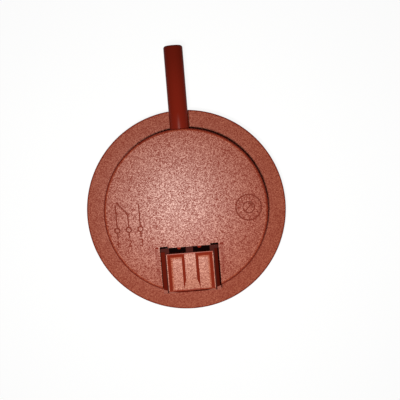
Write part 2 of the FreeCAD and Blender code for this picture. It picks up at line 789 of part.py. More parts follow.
def plunger():
    """The pin that stands in the plate's hub, with a shoulder on the hub and a tapered tip under the arm."""
    seat = plate_top + hub_height
    tip = arm_bottom - plunger_tip_gap
    pin = rod(plunger_radius, plate_bottom + plate_thickness / 2, tip)
    pin = pin.makeChamfer(plunger_radius * head_chamfer_share, rims(pin, plunger_radius, tip))
    shoulder = rod(plunger_shoulder, seat, seat + plunger_shoulder_height)
    return joined([pin, shoulder])


def range_spring():
    """The coil spring between plate and adjuster, of six-sided wire, with its ends ground flat."""
    height = adjuster_bottom - plate_top
    path = Part.makeHelix(height / spring_turns, height, spring_radius)
    corners = [Vector(spring_radius + spring_wire_radius * math.cos(turn * math.pi / 3), 0,
                      spring_wire_radius * math.sin(turn * math.pi / 3)) for turn in range(6)]
    section = Part.makePolygon(corners + corners[:1])
    coil = Part.Wire(path.Edges).makePipeShell([section], True, True)
    coil.translate(Vector(0, 0, plate_top))
    return coil.common(rod(adjuster_radius, plate_top, adjuster_bottom))


def range_adjuster():
    """The ring in the deck's boss that the spring pushes on, with a slot across its top for turning it."""
    ring = tube(adjuster_radius, adjuster_bore, adjuster_bottom, adjuster_top)
    slot = block(-adjuster_radius - over, adjuster_radius + over, -adjuster_slot_width / 2,
                 adjuster_slot_width / 2, adjuster_top - adjuster_slot_depth, adjuster_top + over)
    return ring.cut(slot)


pieces = (front_housing, rear_bowl, contact_carrier, diaphragm, duct_seal, diaphragm_plate, plunger,
          range_spring, range_adjuster, terminal_common, terminal_closed, terminal_open, terminal_rivets,
          pivot_bracket, reset_screw, contact_arm, snap_spring, moving_contact, contact_closed, contact_open)

os.makedirs("parts", exist_ok=True)
for piece in pieces:
    shape = piece()
    shape.exportStep("parts/" + piece.__name__ + ".step")
    print(piece.__name__, len(shape.Solids), round(shape.Volume, 2), shape.isValid())
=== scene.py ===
"""Looks of a dishwasher pressure switch: red mouldings, raised marks, rubber, metal and the stage."""

import math

import bmesh
import bpy
import numpy as np
from mathutils import Matrix, Vector


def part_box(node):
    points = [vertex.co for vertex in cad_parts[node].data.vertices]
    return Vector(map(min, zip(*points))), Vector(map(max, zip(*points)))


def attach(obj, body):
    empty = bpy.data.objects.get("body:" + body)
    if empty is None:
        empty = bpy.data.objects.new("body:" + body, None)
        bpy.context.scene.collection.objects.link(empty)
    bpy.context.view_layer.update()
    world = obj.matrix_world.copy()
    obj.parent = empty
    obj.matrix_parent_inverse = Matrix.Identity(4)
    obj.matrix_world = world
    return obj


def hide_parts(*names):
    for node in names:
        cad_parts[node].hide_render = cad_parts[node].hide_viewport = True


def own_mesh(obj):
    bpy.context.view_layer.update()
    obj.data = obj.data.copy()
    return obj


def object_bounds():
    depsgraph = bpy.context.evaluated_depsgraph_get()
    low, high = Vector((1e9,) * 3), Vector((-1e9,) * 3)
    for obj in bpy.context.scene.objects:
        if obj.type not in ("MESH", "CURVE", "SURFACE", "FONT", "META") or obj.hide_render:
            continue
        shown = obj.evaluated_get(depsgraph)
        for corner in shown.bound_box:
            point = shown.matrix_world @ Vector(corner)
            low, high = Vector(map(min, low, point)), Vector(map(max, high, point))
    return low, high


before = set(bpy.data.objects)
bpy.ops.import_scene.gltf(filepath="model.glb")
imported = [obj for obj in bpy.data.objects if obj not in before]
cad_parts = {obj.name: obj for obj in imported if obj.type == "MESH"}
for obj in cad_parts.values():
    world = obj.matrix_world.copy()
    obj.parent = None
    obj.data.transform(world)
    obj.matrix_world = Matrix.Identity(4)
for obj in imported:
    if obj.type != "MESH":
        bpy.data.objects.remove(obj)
cad_low, cad_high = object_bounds()

bl_info = {
    "name": "Pressure Switch Looks",
    "version": (1, 0, 0),
    "blender": (4, 5, 0),
    "location": "3D View > Sidebar > Switch",
    "description": "Finishes, raised marks and stage for a round pressure switch",
    "category": "Object",
}

MM = 0.001

# Heights, radii and places of the CAD model that the finishes and marks follow
FACE_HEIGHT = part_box("front_housing")[1].z
FLANGE_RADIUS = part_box("front_housing")[1].x
FLANGE_HEIGHT = 11.2 * MM
DRUM_RADIUS = 26.35 * MM
DRUM_EDGE = DRUM_RADIUS - 5 * MM
SPIGOT_SIDE = 3.3 * MM
NIB_REACH = 6 * MM
LINE_REACH = 13 * MM
SHELF_HEIGHT = FACE_HEIGHT - 0.6 * MM
# Painted shadow: past this the right shelf is near black
SHELF_SHADOW_STRIP = 8.85 * MM
GROOVE_SIDES = (7.4 * MM, 8.1 * MM)
SOCKET_BACK = -13.4 * MM
OPENING_LENGTH = 2.2 * MM
MOUTH_BEVEL = -25.1 * MM
RAMP_SIDE = 2.4 * MM

# Depths under the face: of the band that counts as face, of the inner walls, and of its sunk marks
FACE_BAND = 3 * MM
WALL_DEPTH = 2 * MM
MARK_DEPTH = 0.5 * MM
DOT_DEPTH = 0.15 * MM
LINE_DEPTH = 0.04 * MM

# Heights on the carrier: tops of its smooth parts, shelves, sunk parts and deep parts, bottoms of the rest
SMOOTH_TOP = SHELF_HEIGHT + 0.15 * MM
SHELF_TOP = SHELF_HEIGHT + 0.05 * MM
SUNK_TOP = SHELF_HEIGHT - 0.1 * MM
DEEP_TOP = SHELF_HEIGHT - 1.3 * MM
GROOVE_BOTTOM = SHELF_HEIGHT - 0.5 * MM
TRAY_BOTTOM = SHELF_HEIGHT + 0.28 * MM

# Widths over which one finish gives way to the next
SHARP = 0.05 * MM
SOFT = 0.1 * MM
WIDE = 1 * MM

# Upward part of a surface's direction under which its finish changes, and over how much it does
TILTED = (0.995, 0.04)
TRAY_WALL = (0.97, 0.1)
HOUSING_EDGE = (0.85, 0.05)
CARRIER_EDGE = (0.82, 0.05)
BOWL_WALL = (0.5, 0.1)
INNER_WALL = (0.3, 0.1)

# Eroded grain: contrast and paleness of its specks, what relief and clouds add to them, and the painted shade
# that tilt takes off them
SPECK_POWER = 1.6
SPECK_MEAN = 1 / (1 + SPECK_POWER)
FLANGE_CONTRAST = 0.79
FACE_CONTRAST = 1.01
TRAY_CONTRAST = 0.9
CLOUD_WIDTH = 9 * MM
CLOUD_TINT = 0.2
RELIEF_TINT = 0.1
TILT_SHADE = 0.25
FACE_PALENESS = 0.41
TRAY_PALENESS = 0.56
FLANGE_SHEEN = 0.8
FACE_SHEEN = 1.15
EROSION_WIDTH = 1.2
EROSION_STEP = (0.36, 0.28)
EROSION_DEPTH = 0.006 * MM
ERODED_ROUGHNESS = 0.9
POLISHED_ROUGHNESS = 0.045
WALL_ROUGHNESS = 0.5

# How much of its own finish or colour, or of painted highlight or shadow, a small part gets, the rest being
# that of its surroundings
LINE_SHARE = 0.4
RIM_SHARE = 0.8
RAMP_SHEEN_SHARE = 0.9
SHADOW_STRIP_SHARE = 0.85

# Painted shade: how much of a colour is left on the spigot's tip, on the shelves and deep in the openings
TIP_SHADE = 0.8
LEFT_SHELF_SHADE = 0.58
RIGHT_SHELF_SHADE = 0.37
OPENING_SHADE = 0.06

# The spigot along its length: where the sheen at its root ends, and where the painted shade that deepens its
# red starts and over what length
ROOT_LENGTH = 5.5 * MM
TIP_START = 38 * MM
TIP_LENGTH = 14 * MM

# Raised digits: size of the letter body over the digit's height, and what is added all round
BODY_PER_DIGIT = 1.4
DIGIT_BOLDNESS = 0.02 * MM

# The photograph: its width, and the flange's width and middle in it, in pixels
PHOTO_PIXELS = 400
FLANGE_PIXELS = 199.2
FLANGE_MIDDLE = (186.4, 209.6)
CAMERA_DISTANCE = 350 * MM
CAMERA_TURN = math.radians(4.7)
CAMERA_TILT = math.radians(2.3)
SENSOR_WIDTH = 36

# The flash: how far left of and below the camera it is, and where it points
FLASH_LEFT = 16 * MM
FLASH_DOWN = 29 * MM
FLASH_AIM = (-1 * MM, -6 * MM, 12 * MM)
FLASH_SIZE = 26 * MM
FLASH_POWER = 0.091
FLASH_COLOUR = (1.0, 0.993, 0.935)
FLASH_SPREAD = math.radians(42)

# The room: its even light, the share of the floor's own light, and half the floor's width in metres
ROOM_LIGHT = 0.10
FLOOR_GLOW = 0.93
FLOOR_HALF_WIDTH = 5.0


class SwitchColours(bpy.types.PropertyGroup):
    """Colours of the mouldings and of the floor."""
    eroded: bpy.props.FloatVectorProperty(
        name="Eroded Red", description="Dark specks of the spark-eroded grain", subtype="COLOR",
        size=3, min=0, max=1, default=(0.154, 0.0196, 0.0112))
    eroded_pale: bpy.props.FloatVectorProperty(
        name="Eroded Pale", description="Pale specks of the eroded grain, which look dusty", subtype="COLOR",
        size=3, min=0, max=1, default=(0.330, 0.080, 0.037))
    dusty: bpy.props.FloatVectorProperty(
        name="Dusty Red", description="Pale specks of the grain in the socket's tray", subtype="COLOR",
        size=3, min=0, max=1, default=(0.45, 0.160, 0.100))
    # Painted highlight: a paler red for the falling face of the latch ramp, where light falls on it
    ramp_sheen: bpy.props.FloatVectorProperty(
        name="Ramp Sheen Red", description="Pale specks on the falling face of the latch ramp",
        subtype="COLOR", size=3, min=0, max=1, default=(0.50, 0.215, 0.160))
    satin: bpy.props.FloatVectorProperty(
        name="Satin Red", description="Sloping walls of the tray and rims of the socket", subtype="COLOR",
        size=3, min=0, max=1, default=(0.205, 0.0205, 0.0085))
    mark: bpy.props.FloatVectorProperty(
        name="Mark Red", description="Raised lines and numbers on the face", subtype="COLOR",
        size=3, min=0, max=1, default=(0.165, 0.030, 0.019))
    polished: bpy.props.FloatVectorProperty(
        name="Polished Red", description="Spigot, edges and side shelves, where the mould was smooth",
        subtype="COLOR", size=3, min=0, max=1, default=(0.140, 0.0105, 0.0048))
    shaded: bpy.props.FloatVectorProperty(
        name="Shaded Brown", description="Sunk parts of the carrier around the socket", subtype="COLOR",
        size=3, min=0, max=1, default=(0.050, 0.011, 0.009))
    shelf_end: bpy.props.FloatVectorProperty(
        name="Shelf End", description="Ends of the side shelves past the drum, which look like the flange",
        subtype="COLOR", size=3, min=0, max=1, default=(0.24, 0.075, 0.055))
    floor: bpy.props.FloatVectorProperty(
        name="Floor", description="Paper under the switch", subtype="COLOR",
        size=3, min=0, max=1, default=(0.97, 0.97, 0.97))


class SwitchSizes(bpy.types.PropertyGroup):
    """Sizes of the grain and of the raised marks."""
    grain: bpy.props.FloatProperty(
        name="Grain", description="Width of one speck of the eroded finish", unit="LENGTH",
        min=0.00005, max=0.002, default=0.20 * MM)
    relief: bpy.props.FloatProperty(
        name="Relief", description="Height of the raised marks over the face", unit="LENGTH",
        min=0.00002, max=0.0005, default=0.15 * MM)
    stroke: bpy.props.FloatProperty(
        name="Stroke", description="Width of a raised line", unit="LENGTH",
        min=0.0001, max=0.001, default=0.42 * MM)
    dial_radius: bpy.props.FloatProperty(
        name="Dial Radius", description="Outer radius of the date dial", unit="LENGTH",
        min=0.002, max=0.008, default=4.3 * MM)


class Sock:
    """A shader socket that takes part in Python expressions."""

    def __init__(self, shade, socket):
        self.shade = shade
        self.socket = socket

    def maths(self, operation, *others, clamp=False):
        """A Math node on this socket and the other values."""
        settings = {"operation": operation, "use_clamp": clamp}
        inputs = dict(enumerate((self,) + others))
        return self.shade.add("ShaderNodeMath", settings, inputs)

    def __add__(self, other):
        return self.maths("ADD", other)

    def __radd__(self, other):
        return self.maths("ADD", other)

    def __sub__(self, other):
        return self.maths("SUBTRACT", other)

    def __rsub__(self, other):
        return self.shade.add("ShaderNodeMath", {"operation": "SUBTRACT"}, {0: other, 1: self})

    def __mul__(self, other):
        return self.maths("MULTIPLY", other)

    def __rmul__(self, other):
        return self.maths("MULTIPLY", other)

    def __pow__(self, other):
        return self.maths("POWER", other)

    def size(self):
        """The value without its sign."""
        return self.maths("ABSOLUTE")

    def over(self, edge, blur):
        """0 below edge, 1 above edge + blur, smooth between."""
        settings = {"interpolation_type": "SMOOTHSTEP", "clamp": True}
        inputs = {"Value": self, "From Min": edge, "From Max": edge + blur}
        return self.shade.add("ShaderNodeMapRange", settings, inputs)

    def under(self, edge, blur):
        """1 below edge - blur, 0 above edge, smooth between."""
        return 1 - self.over(edge - blur, blur)


class Shade:
    """A material with one Principled shader, built node by node."""

    def __init__(self, name):
        self.material = bpy.data.materials.new(name)
        self.material.use_nodes = True
        self.tree = self.material.node_tree
        self.tree.nodes.clear()
        self.shader = self.tree.nodes.new("ShaderNodeBsdfPrincipled")
        self.output = self.tree.nodes.new("ShaderNodeOutputMaterial")
        self.tree.links.new(self.shader.outputs[0], self.output.inputs[0])
        self.place = self.add("ShaderNodeTexCoord", {}, {}, "Object")
        parts = self.add("ShaderNodeSeparateXYZ", {}, {0: self.place}, None)
        self.x, self.y, self.z = [Sock(self, socket) for socket in parts.outputs]
        facing = self.add("ShaderNodeTexCoord", {}, {}, "Normal")
        self.facing_up = self.add("ShaderNodeSeparateXYZ", {}, {0: facing}, "Z")

    def add(self, kind, settings, inputs, output=0):
        """A node of the given type; its settings come first, then its inputs by name or number."""
        node = self.tree.nodes.new(kind)
        for name, value in settings.items():
            setattr(node, name, value)
        for name, value in inputs.items():
            if isinstance(value, Sock):
                self.tree.links.new(value.socket, node.inputs[name])
            else:
                node.inputs[name].default_value = value
        return node if output is None else Sock(self, node.outputs[output])

    def set(self, **constants):
        """Sets sockets that are the same all over the surface."""
        for name, value in constants.items():
            self.shader.inputs[name.replace("_", " ")].default_value = value

    def feed(self, name, value):
        """Links a value that changes over the surface to a socket of the shader."""
        self.tree.links.new(value.socket, self.shader.inputs[name])

    def noise(self, width, detail=2.0):
        """Grey noise with specks of the given width."""
        inputs = {"Vector": self.place, "Scale": 1 / width, "Detail": detail}
        return self.add("ShaderNodeTexNoise", {}, inputs)

    def grains(self, width):
        """A random grey for each of many cells of the given width."""
        cells = self.add("ShaderNodeTexVoronoi", {}, {"Vector": self.place, "Scale": 1 / width}, "Color")
        return self.add("ShaderNodeSeparateColor", {}, {0: cells})

    def mix(self, factor, first, second):
        """Colour between two colours."""
        settings = {"data_type": "RGBA", "clamp_factor": True}
        inputs = {0: factor, 6: as_colour(first), 7: as_colour(second)}
        return self.add("ShaderNodeMix", settings, inputs, 2)

    def bump(self, height, distance, strength=1.0):
        """Feeds a height, in parts of distance, to the shader's normal."""
        inputs = {"Height": height, "Distance": distance, "Strength": strength}
        self.feed("Normal", self.add("ShaderNodeBump", {}, inputs))


def as_colour(value):
    """A socket as it is, or three numbers with full alpha."""
    return value if isinstance(value, Sock) else (*value, 1.0)


def scaled(colour, factor):
    """A colour made deeper or paler by a factor."""
    return tuple(channel * factor for channel in colour)


def eroded_tint(shade, height, contrast, tilted, dusty):
    """How pale each speck of the eroded grain is, from 0 to 1.

    Random cells to a power, less their mean, times the contrast; plus a little of the relief's height and
    of slow clouds. The tray's grain is paler; elsewhere tilted surfaces are darker, as painted shade.
    """
    specks = shade.grains(bpy.context.scene.switch_sizes.grain) ** SPECK_POWER
    cloud = shade.noise(CLOUD_WIDTH)
    tint = (specks - SPECK_MEAN) * contrast + (height - 0.5) * RELIEF_TINT + (cloud - 0.5) * CLOUD_TINT
    if dusty:
        tint = tint * TRAY_CONTRAST + TRAY_PALENESS
    else:
        # Painted shade: tilted surfaces of the grain are made darker
        tint = tint - tilted * TILT_SHADE + FACE_PALENESS
    return tint.maths("ADD", 0.0, clamp=True)


def red_moulding(name, smooth_mask, smooth_tone=None, dusty=False, sheen=None):
    """Red plastic: eroded grain where the mould was textured, smooth where smooth_mask says 1.

    The grain is a set of random cells: the paler a cell, the more of the dull sheen it has. A low noise
    relief lies under it. smooth_tone gives the colour of the smooth parts; dusty makes the specks
    paler and adds a painted highlight on the latch ramp's falling face; sheen is a mask of smooth places
    that have the dull sheen too.
    """
    colours = bpy.context.scene.switch_colours
    shade = Shade(name)
    smooth = smooth_mask(shade)
    rough = 1 - smooth
    on_face = shade.z.over(FACE_HEIGHT - FACE_BAND, WIDE)
    contrast = on_face * (FACE_CONTRAST - FLANGE_CONTRAST) + FLANGE_CONTRAST
    tilted = shade.facing_up.under(*TILTED)
    width = bpy.context.scene.switch_sizes.grain * EROSION_WIDTH
    height = shade.noise(width, 1.0).over(*EROSION_STEP)
    tint = eroded_tint(shade, height, contrast, tilted, dusty)
    eroded = shade.mix(tint, colours.eroded, colours.dusty if dusty else colours.eroded_pale)
    if dusty:
        # Painted highlight: on the falling face of the latch ramp the specks are mixed towards a paler red
        on_ramp = tilted * shade.x.size().under(RAMP_SIDE + SOFT, SOFT)
        eroded = shade.mix(on_ramp * tint * RAMP_SHEEN_SHARE, eroded, colours.ramp_sheen)
    tone = smooth_tone(shade, colours) if smooth_tone else colours.polished
    shade.feed("Base Color", shade.mix(smooth, eroded, tone))
    inner_wall = shade.facing_up.size().under(*INNER_WALL) * shade.z.under(FACE_HEIGHT - WALL_DEPTH, SOFT)
    inner_wall = inner_wall * shade.y.under(DRUM_RADIUS - 1 * MM, SOFT)
    smooth_roughness = inner_wall * WALL_ROUGHNESS + POLISHED_ROUGHNESS
    shade.feed("Roughness", rough * ERODED_ROUGHNESS + smooth * smooth_roughness)
    coat = rough * tint * (on_face * (FACE_SHEEN - FLANGE_SHEEN) + FLANGE_SHEEN)
    shade.feed("Coat Weight", coat + sheen(shade) if sheen else coat)
    shade.bump(height * rough * contrast, EROSION_DEPTH, 1.0)
    shade.set(Specular_IOR_Level=0.015, IOR=1.5, Coat_Roughness=0.26, Coat_IOR=1.18)
    return shade.material


def housing_smooth(shade):
    """1 on the spigot, the side walls, the rounded edges, the sunk dots and the nibs of the front moulding.

    The sunk lines beside the window get a little of it. On the nibs and these lines the darker red is partly
    painted shade of their recesses.
    """
    across = shade.x.size()
    outside = shade.y.over(DRUM_RADIUS - SOFT, SHARP)
    on_spigot = outside * across.under(SPIGOT_SIDE, SOFT) * shade.z.over(FLANGE_HEIGHT + 0.3 * MM, SOFT)
    near_face = shade.z.over(FACE_HEIGHT - MARK_DEPTH, SOFT)
    dots = near_face * shade.z.under(FACE_HEIGHT - DOT_DEPTH, SHARP)
    inland = shade.y.size().under(DRUM_EDGE, WIDE)
    below_face = near_face * shade.z.under(FACE_HEIGHT - LINE_DEPTH, 0.03 * MM)
    nibs = across.under(NIB_REACH, WIDE) * inland
    lines = across.under(LINE_REACH, WIDE) * inland
    # Painted shade in part: nibs and sunk lines take the darker polished red
    sunk = below_face * (nibs * (1 - LINE_SHARE) + lines * LINE_SHARE)
    steep = shade.facing_up.size().under(*HOUSING_EDGE)
    return on_spigot.maths("MAXIMUM", steep).maths("MAXIMUM", dots.maths("MAXIMUM", sunk))


def housing_tone(shade, colours):
    """Polished red, made a little deeper towards the spigot's tip by painted shade."""
    # Painted shade: the red darkens towards the spigot's tip
    deeper = scaled(colours.polished, TIP_SHADE)
    return shade.mix(shade.y.over(TIP_START, TIP_LENGTH), colours.polished, deeper)


def spigot_sheen(shade):
    """Strong on top of the spigot at its root, gone a few millimetres on."""
    fading = shade.y.under(DRUM_RADIUS + ROOT_LENGTH, ROOT_LENGTH - SOFT)
    at_root = shade.y.over(DRUM_RADIUS - SOFT, SHARP) * fading
    on_top = shade.x.size().under(2.4 * MM, 0.5 * MM) * shade.z.over(FLANGE_HEIGHT + 1 * MM, 0.5 * MM)
    return at_root * on_top


def carrier_smooth(shade):
    """1 on the tray's sloping walls, the mouth's bevel, the side shelves and all that is lower.

    The socket's back rim gets most of it.
    """
    low = shade.z.under(SMOOTH_TOP, SOFT)
    at_mouth = shade.y.under(MOUTH_BEVEL, SOFT)
    beside_ramp = shade.x.size().over(RAMP_SIDE, SHARP).maths("MAXIMUM", at_mouth)
    over_tray = shade.z.over(TRAY_BOTTOM, 0.32 * MM).maths("MAXIMUM", at_mouth)
    walls = shade.facing_up.under(*TRAY_WALL) * beside_ramp * over_tray
    steep = shade.facing_up.under(*CARRIER_EDGE)
    back_rim = shade.y.over(SOCKET_BACK - 0.55 * MM, 0.4 * MM) * RIM_SHARE
    return low.maths("MAXIMUM", walls).maths("MAXIMUM", steep).maths("MAXIMUM", back_rim)


def carrier_tone(shade, colours):
    """Satin red on the tray's walls. Painted shade makes the shelves deeper red, the right one more, and
    makes the grooves beside the socket brown and the sunk parts behind it brown and then black.

    The right shelf has a dark outer strip of painted shadow, and past the drum both shelves have a colour of
    their own.
    """
    across = shade.x.size()
    # Painted shade: the shelves are darker copies of the polished red, the right one darker than the left
    left, right = scaled(colours.polished, LEFT_SHELF_SHADE), scaled(colours.polished, RIGHT_SHELF_SHADE)
    shelf = shade.mix(shade.x.over(0, WIDE), left, right)
    # Painted shadow: a near-black strip along the right shelf's outer edge
    shelf = shade.mix(shade.x.over(SHELF_SHADOW_STRIP, SOFT) * SHADOW_STRIP_SHARE, shelf, (0, 0, 0))
    reach = (shade.x * shade.x + shade.y * shade.y) ** 0.5
    shelf = shade.mix(reach.over(DRUM_RADIUS, SHARP), shelf, colours.shelf_end)
    tone = shade.mix(shade.z.over(SHELF_TOP, SOFT), shelf, colours.satin)
    behind = shade.y.over(SOCKET_BACK, SHARP) * shade.y.under(SOCKET_BACK + OPENING_LENGTH, SHARP)
    # Painted shade: the sunk parts behind the socket are brown
    tone = shade.mix(behind * shade.z.under(SUNK_TOP, 0.3 * MM), tone, colours.shaded)
    # Painted shade: the grooves beside the socket are brown
    groove = across.over(GROOVE_SIDES[0], SHARP) * across.under(GROOVE_SIDES[1], SHARP)
    sunk = shade.z.under(SUNK_TOP, 0.15 * MM) * shade.z.over(GROOVE_BOTTOM, SHARP)
    tone = shade.mix(groove * sunk, tone, colours.shaded)
    # Painted shade: deep in the openings behind the socket is near black
    deep = behind * shade.z.under(DEEP_TOP, 0.4 * MM)
    return shade.mix(deep, tone, scaled(colours.shaded, OPENING_SHADE))


def bowl_smooth(shade):
    """1 on the inner walls of the rear moulding."""
    return shade.facing_up.size().under(*BOWL_WALL)


def strip_painted_shade(shade):
    """Painted shade: 1 on the strips inside the switch, 0 on the tabs in the socket."""
    return shade.y.over(SOCKET_BACK + 0.2 * MM, 0.3 * MM)


def metal(name, colour, dark, roughness, scratch, painted_shade=None):
    """Rolled or turned metal: fine scratches along X and clouds of tarnished metal; painted shade makes it
    much deeper, and it is rougher, where painted_shade says 1.
    """
    shade = Shade(name)
    stretched = shade.add("ShaderNodeMapping", {}, {"Vector": shade.place, "Scale": (0.08, 1.0, 1.0)})
    lines = shade.add("ShaderNodeTexNoise", {}, {"Vector": stretched, "Scale": 1 / scratch, "Detail": 3.0})
    cloud = shade.noise(2.5 * MM, 3.0)
    tone = shade.mix(cloud.over(0.35, 0.35), colour, dark)
    finish = roughness + lines * 0.18 + cloud * 0.10
    if painted_shade:
        # Painted shade: the strips inside the switch are darkened almost to black
        tone = shade.mix(painted_shade(shade), tone, scaled(dark, 0.2))
        finish = finish + painted_shade(shade) * 0.3
    shade.feed("Base Color", tone)
    shade.feed("Roughness", finish)
    shade.bump(lines, 0.006 * MM, 0.5)
    shade.set(Metallic=1.0)
    return shade.material


def rubber(name):
    """Black rubber: a matt skin with fine grain and a faint grey bloom."""
    shade = Shade(name)
    grain = shade.noise(0.12 * MM, 3.0)
    bloom = shade.noise(3.0 * MM, 2.0)
    shade.feed("Base Color", shade.mix(bloom.over(0.4, 0.4), (0.016, 0.016, 0.017), (0.040, 0.039, 0.038)))
    shade.feed("Roughness", 0.62 + grain * 0.2)
    shade.bump(grain, 0.01 * MM, 0.5)
    return shade.material


def inner_plastic(name):
    """Natural white plastic: satin, with weak flow clouds and a light grain."""
    shade = Shade(name)
    cloud = shade.noise(4.0 * MM, 2.0)
    grain = shade.noise(0.2 * MM, 2.0)
    shade.feed("Base Color", shade.mix(cloud, (0.66, 0.64, 0.58), (0.74, 0.73, 0.68)))
    shade.feed("Roughness", 0.36 + grain * 0.14)
    shade.bump(grain, 0.006 * MM, 0.5)
    return shade.material


def dress(material, *nodes):
    """Gives CAD nodes a material in every slot."""
    for node in nodes:
        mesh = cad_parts[node].data
        mesh.materials.clear()
        mesh.materials.append(material)


def flattening_copy(node, name):
    """A merged copy of a CAD node in its place, on the housing, with the node itself hidden.
    """
    mesh = bmesh_of(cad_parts[node])
    bmesh.ops.remove_doubles(mesh, verts=mesh.verts, dist=1e-7)
    data = bpy.data.meshes.new(name)
    mesh.to_mesh(data)
    mesh.free()
    piece = bpy.data.objects.new(name, data)
    bpy.context.scene.collection.objects.link(piece)
    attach(piece, "housing")
    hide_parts(node)
    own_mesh(piece)
    return piece


def new_piece(name, vertices, faces):
    """A mesh object from whole arrays of vertices and faces, at the origin."""
    mesh = bpy.data.meshes.new(name)
    mesh.from_pydata(vertices.tolist(), [], faces.tolist())
    mesh.update()
    piece = bpy.data.objects.new(name, mesh)
    bpy.context.scene.collection.objects.link(piece)
    return piece


def grid_faces(rows, columns, close_rows=False):
    """Quads between the points of a grid whose columns always run round and whose rows may."""
    row = np.arange(rows if close_rows else rows - 1)[:, None]
    column = np.arange(columns)[None, :]
    after_row = (row + 1) % rows
    after_column = (column + 1) % columns
    corners = [row * columns + column, row * columns + after_column,
               after_row * columns + after_column, after_row * columns + column]
    return np.stack(np.broadcast_arrays(*corners), axis=-1).reshape(-1, 4)


def ridge_profile(width, height, sunk, count=9):
    """A closed section across a ridge: a half ellipse over the face, and a flat base sunk into it."""
    turn = np.linspace(0, math.pi, count)
    across = np.concatenate([np.cos(turn) * width / 2, [-width / 2, width / 2]])
    up = np.concatenate([np.sin(turn) * height, [-sunk, -sunk]])
    return across, up


def ring_ridge(centre, radius, width, height, segments=72):
    """A raised circle: the ridge section turned about the circle's centre."""
    across, up = ridge_profile(width, height, height)
    turn = np.linspace(0, 2 * math.pi, segments, endpoint=False)[:, None]
    reach = radius - across[None, :]
    reach = np.broadcast_to(reach, (segments, len(across)))
    points = np.stack([centre[0] + np.cos(turn) * reach, centre[1] + np.sin(turn) * reach,
                       np.broadcast_to(FACE_HEIGHT + up[None, :], reach.shape)], axis=-1)
    return points.reshape(-1, 3), grid_faces(segments, len(across), True)


def line_ridge(start, end, width, height):
    """A raised straight line: the ridge section carried from start to end, with half-round ends."""
    across, up = ridge_profile(width, height, height)
    start, end = np.array(start), np.array(end)
    along = (end - start) / np.linalg.norm(end - start)
    side = np.array([along[1], -along[0]])
    share = np.sin(np.linspace(0, math.pi / 2, 4))
    cap = width / 2 * (1 - np.sqrt(1 - (1 - share) ** 2))
    shift = np.concatenate([cap, np.linalg.norm(end - start) - cap[::-1]])
    scale = np.concatenate([np.maximum(share, 0.02), np.maximum(share[::-1], 0.02)])
    middle = start[None, :] + shift[:, None] * along[None, :]
    flat = middle[:, None, :] + side[None, None, :] * (across[None, :] * scale[:, None])[..., None]
    rise = FACE_HEIGHT + np.where(up[None, :] > 0, up[None, :] * scale[:, None], up[None, :])
    points = np.concatenate([flat, rise[..., None]], axis=-1).reshape(-1, 3)
    faces = grid_faces(len(shift), len(across))
    return points, faces


def closed_ends(piece):
    """Fills the open ends of a piece's strips and turns its faces outwards."""
    mesh = bmesh_of(piece)
    bmesh.ops.holes_fill(mesh, edges=mesh.edges, sides=0)
    bmesh.ops.recalc_face_normals(mesh, faces=mesh.faces)
    mesh.to_mesh(piece.data)
    mesh.free()
    return piece


def bmesh_of(piece):
    """An editable copy of a piece's mesh."""
    mesh = bmesh.new()
    mesh.from_mesh(piece.data)
    return mesh


def stacked(shapes):
    """One set of arrays from several (vertices, faces) pairs."""
    start = 0
    all_points, all_faces = [], []
    for points, faces in shapes:
        all_points.append(points)
        all_faces.append(faces + start)
        start += len(points)
    return np.concatenate(all_points), np.concatenate(all_faces)


def numeral(text, place, height, relief, turn=0.0):
    """Plain raised digits, centred at a place on the face and turned by an angle."""
    curve = bpy.data.curves.new("digits", "FONT")
    curve.body = text
    curve.size = height * BODY_PER_DIGIT
    curve.align_x = "CENTER"
    curve.align_y = "CENTER"
    curve.extrude = relief
    curve.offset = DIGIT_BOLDNESS
    curve.resolution_u = 4
    holder = bpy.data.objects.new("digits", curve)
    bpy.context.scene.collection.objects.link(holder)
    mesh = bpy.data.meshes.new_from_object(holder)
    bpy.data.objects.remove(holder)
    mesh.transform(Matrix.Translation((place[0], place[1], FACE_HEIGHT)) @ Matrix.Rotation(turn, 4, "Z"))
    return mesh


def with_numerals(piece, meshes):
    """Adds the digits' meshes to a piece as one mesh, with their doubles merged."""
    mesh = bmesh_of(piece)
    for digits in meshes:
        mesh.from_mesh(digits)
    bmesh.ops.remove_doubles(mesh, verts=mesh.verts, dist=1e-7)
    mesh.to_mesh(piece.data)
    mesh.free()
    return piece


def finish_mark(piece):
    """Gives a raised mark its smooth red material, body and slot."""
    smooth = red_moulding(piece.name + "_red", lambda shade: shade.z.over(FACE_HEIGHT - 1 * MM, 0.1 * MM),
                          lambda shade, colours: colours.mark)
    piece.data.materials.append(smooth)
    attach(piece, "housing")


class SWITCH_OT_mouldings(bpy.types.Operator):
    """Finish the three red mouldings"""
    bl_idname = "switch.mouldings"
    bl_label = "Finish Mouldings"

    def execute(self, context):
        front = red_moulding("front_housing_red", housing_smooth, housing_tone, sheen=spigot_sheen)
        dress(front, "front_housing")
        carrier = red_moulding("contact_carrier_red", carrier_smooth, carrier_tone, dusty=True)
        dress(carrier, "contact_carrier")
        dress(red_moulding("rear_bowl_red", bowl_smooth), "rear_bowl")
        return {"FINISHED"}


class SWITCH_OT_seals(bpy.types.Operator):
    """Finish the rubber diaphragm, the seal and the white plate and plunger"""
    bl_idname = "switch.seals"
    bl_label = "Finish Seals and Plate"

    def execute(self, context):
        black = rubber("seal_rubber_black")
        dress(black, "duct_seal")
        skin = flattening_copy("diaphragm", "diaphragm_skin")
        skin.data.materials.append(black)
        dress(inner_plastic("plate_white"), "diaphragm_plate", "plunger")
        return {"FINISHED"}


